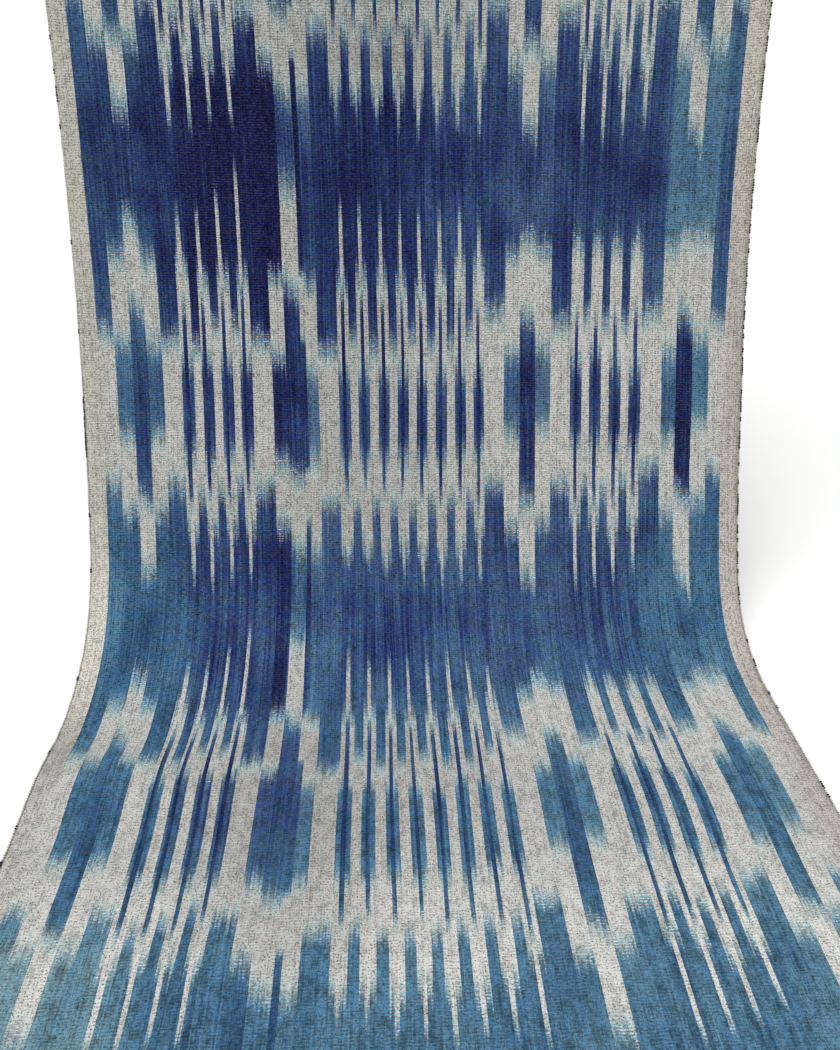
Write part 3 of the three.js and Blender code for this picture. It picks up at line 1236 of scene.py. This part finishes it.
@dataclass
class SelvedgeTurns:
    """The turns of the weft along both selvedges: a bead for each, and here and there one painted dark as
    shade.
    """

    cloth: IkatCloth
    finish: SelvedgeCotton = field(default_factory=SelvedgeCotton)
    pitch: float = 1.4
    bead_length: float = 0.62
    bead_width: float = 0.5
    bead_height: float = 0.42
    first_bead: float = 0.75
    turns_of_a_colour: int = 2
    dark_swell: float = 1.25
    seed: int = 7
    dark_elsewhere: float = 0.2
    dark_stretches: tuple[DarkStretch, ...] = (
        DarkStretch(edge=400, start=240, end=580, chance=0.5),
        DarkStretch(edge=400, start=580, end=1000, chance=0.12),
        DarkStretch(edge=0, start=462, end=505, chance=0.7),
        DarkStretch(edge=0, start=0, end=1000, chance=0.06),
    )

    def chance_of_dark(self, edge: float, along: float) -> float:
        """Find how often turns are painted dark as shade at one place on a selvedge.

        Args:
            edge: the selvedge, by its place across the cloth.
            along: place along the cloth, from its top edge.

        Returns:
            The chance, from 0 to 1.
        """
        for stretch in self.dark_stretches:
            if stretch.edge == edge and stretch.start <= along <= stretch.end:
                return stretch.chance
        return self.dark_elsewhere

    def build(self) -> bpy.types.Object:
        """Build the beads of both selvedges as one piece.

        Returns:
            The beads.
        """
        chooser = random.Random(self.seed)
        width, length = self.cloth.sweep.width, self.cloth.sweep.length
        count = int(length / self.pitch) - 1
        rows = [self.pitch * (turn + self.first_bead) for turn in range(count)]
        columns = self.cloth.surface([0.0, width], rows)
        bm = bmesh.new()
        tone = bm.verts.layers.float.new("tone")
        for edge, column in zip((0.0, width), columns):
            for turn, middle in enumerate(column):
                near = column[turn + 1] if turn + 1 < count else column[turn - 1]
                lay = (near - middle).to_track_quat("Z", "Y").to_matrix().to_4x4()
                # Painted shade: pairs of turns drawn dark, and a little larger, for the shadows between turns
                if turn % self.turns_of_a_colour == 0:
                    dark = chooser.random() < self.chance_of_dark(edge, rows[turn])
                swell = chooser.uniform(0.8, 1.15) * (self.dark_swell if dark else 1.0)
                size = Vector((self.bead_width, self.bead_height, self.bead_length)) * swell * MM
                place = Matrix.Translation(middle) @ lay @ Matrix.Diagonal((*size, 1.0))
                made = bmesh.ops.create_icosphere(bm, subdivisions=1, radius=1.0, matrix=place)
                for vert in made["verts"]:
                    vert[tone] = 1.0 if dark else chooser.uniform(0.0, 0.25)
        for face in bm.faces:
            face.smooth = True
        turns = finish_mesh(bm, "selvedge_turns", self.finish.build())
        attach(turns, "root")
        LOG.info("selvedge turns: %d on each side", count)
        return turns


@dataclass
class Studio:
    """A plain pale floor, a white surround and a wide soft light from above, in front and to the left."""

    floor_below: float = 0.3
    floor_size: float = 400.0
    floor_colour: str = "#e7e7e6"
    surround_strength: float = 0.25
    horizon_strength: float = 1.0
    horizon_from: float = 0.03
    horizon_height: float = 0.3
    light_strength: float = 3.6
    light_spread: float = 50.0
    light_elevation: float = 70.0
    light_turn: float = -35.0

    def build(self, floor_level: float) -> None:
        """Build the floor, the surround and the light.

        Args:
            floor_level: height of the surface under the lying part, in metres.
        """
        self.floor(floor_level)
        self.surround()
        lamp = bpy.data.lights.new("soft_light", "SUN")
        lamp.energy = self.light_strength
        lamp.angle = math.radians(self.light_spread)
        light = bpy.data.objects.new("soft_light", lamp)
        turn = Matrix.Rotation(math.radians(self.light_turn), 4, "Z")
        light.matrix_world = turn @ Matrix.Rotation(math.radians(90 - self.light_elevation), 4, "X")
        bpy.context.scene.collection.objects.link(light)
        bpy.context.scene.view_settings.view_transform = "Standard"
        LOG.info("studio: floor, surround and light")

    def floor(self, level: float) -> None:
        """Lay the floor.

        Args:
            level: height of the surface under the lying part, in metres.
        """
        bm = bmesh.new()
        bmesh.ops.create_grid(bm, x_segments=1, y_segments=1, size=self.floor_size / 2)
        bmesh.ops.translate(bm, verts=bm.verts, vec=(0.0, 0.0, level - self.floor_below * MM))
        paper = bpy.data.materials.new("matt_white_paper")
        paper.use_nodes = True
        shader = paper.node_tree.nodes["Principled BSDF"]
        shader.inputs["Base Color"].default_value = linear(self.floor_colour)
        shader.inputs["Roughness"].default_value = 0.95
        shader.inputs["Specular IOR Level"].default_value = 0.1
        finish_mesh(bm, "studio_floor", paper)

    def surround(self) -> None:
        """Make the white surround: bright at the horizon, softer above."""
        world = bpy.data.worlds.new("white_surround")
        world.use_nodes = True
        tree = world.node_tree
        tree.nodes.clear()
        way = add_node(tree, "TexCoord", out="Generated")
        up = add_node(tree, "SeparateXYZ", {0: way}, "Z")
        fade = {0: up, 1: self.horizon_from, 2: self.horizon_height}
        fade |= {3: self.horizon_strength, 4: self.surround_strength}
        strength = add_node(tree, "MapRange", fade, interpolation_type="SMOOTHSTEP")
        white = {"Color": linear("#ffffff"), "Strength": strength}
        back = add_node(tree, "Background", white)
        add_node(tree, "OutputWorld", {"Surface": back})
        bpy.context.scene.world = world


@dataclass
class PhotoCamera:
    """The camera at the photograph's place: close in front of the cloth, looking down at the bend."""

    focal_pixels: float = 842.6
    picture_width: float = 840.0
    sensor_width: float = 36.0
    across: float = -0.0207
    behind_front_end: float = 0.0154
    above_floor: float = 0.3343
    yaw: float = 2.68
    pitch: float = 30.79
    roll: float = -0.47
    nearest: float = 0.01

    def build(self, front_end: float, floor_level: float) -> None:
        """Place the camera.

        Args:
            front_end: y of the cloth's front end, in metres.
            floor_level: height of the surface under the lying part, in metres.
        """
        data = bpy.data.cameras.new("photo_camera")
        data.sensor_fit = "HORIZONTAL"
        data.sensor_width = self.sensor_width
        data.lens = self.sensor_width * self.focal_pixels / self.picture_width
        data.clip_start = self.nearest
        camera = bpy.data.objects.new("photo_camera", data)
        place = Vector((self.across, front_end - self.behind_front_end, floor_level + self.above_floor))
        turn = (
            Matrix.Rotation(-math.radians(self.yaw), 4, "Z")
            @ Matrix.Rotation(math.radians(90 - self.pitch), 4, "X")
            @ Matrix.Rotation(-math.radians(self.roll), 4, "Z")
        )
        camera.matrix_world = Matrix.Translation(place) @ turn
        bpy.context.scene.collection.objects.link(camera)
        bpy.context.scene.camera = camera
        LOG.info("camera: lens %.1f mm", data.lens)


def main() -> None:
    """Build the scene in order."""
    logging.basicConfig(level=logging.INFO, format="%(message)s")
    low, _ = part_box(CLOTH_NODE)
    PhotoCamera().build(front_end=low[1], floor_level=low[2])
    Studio().build(floor_level=low[2])
    cloth = IkatCloth()
    sheet = cloth.build()
    turns = SelvedgeTurns(cloth).build()


if __name__ == "__main__":
    main()
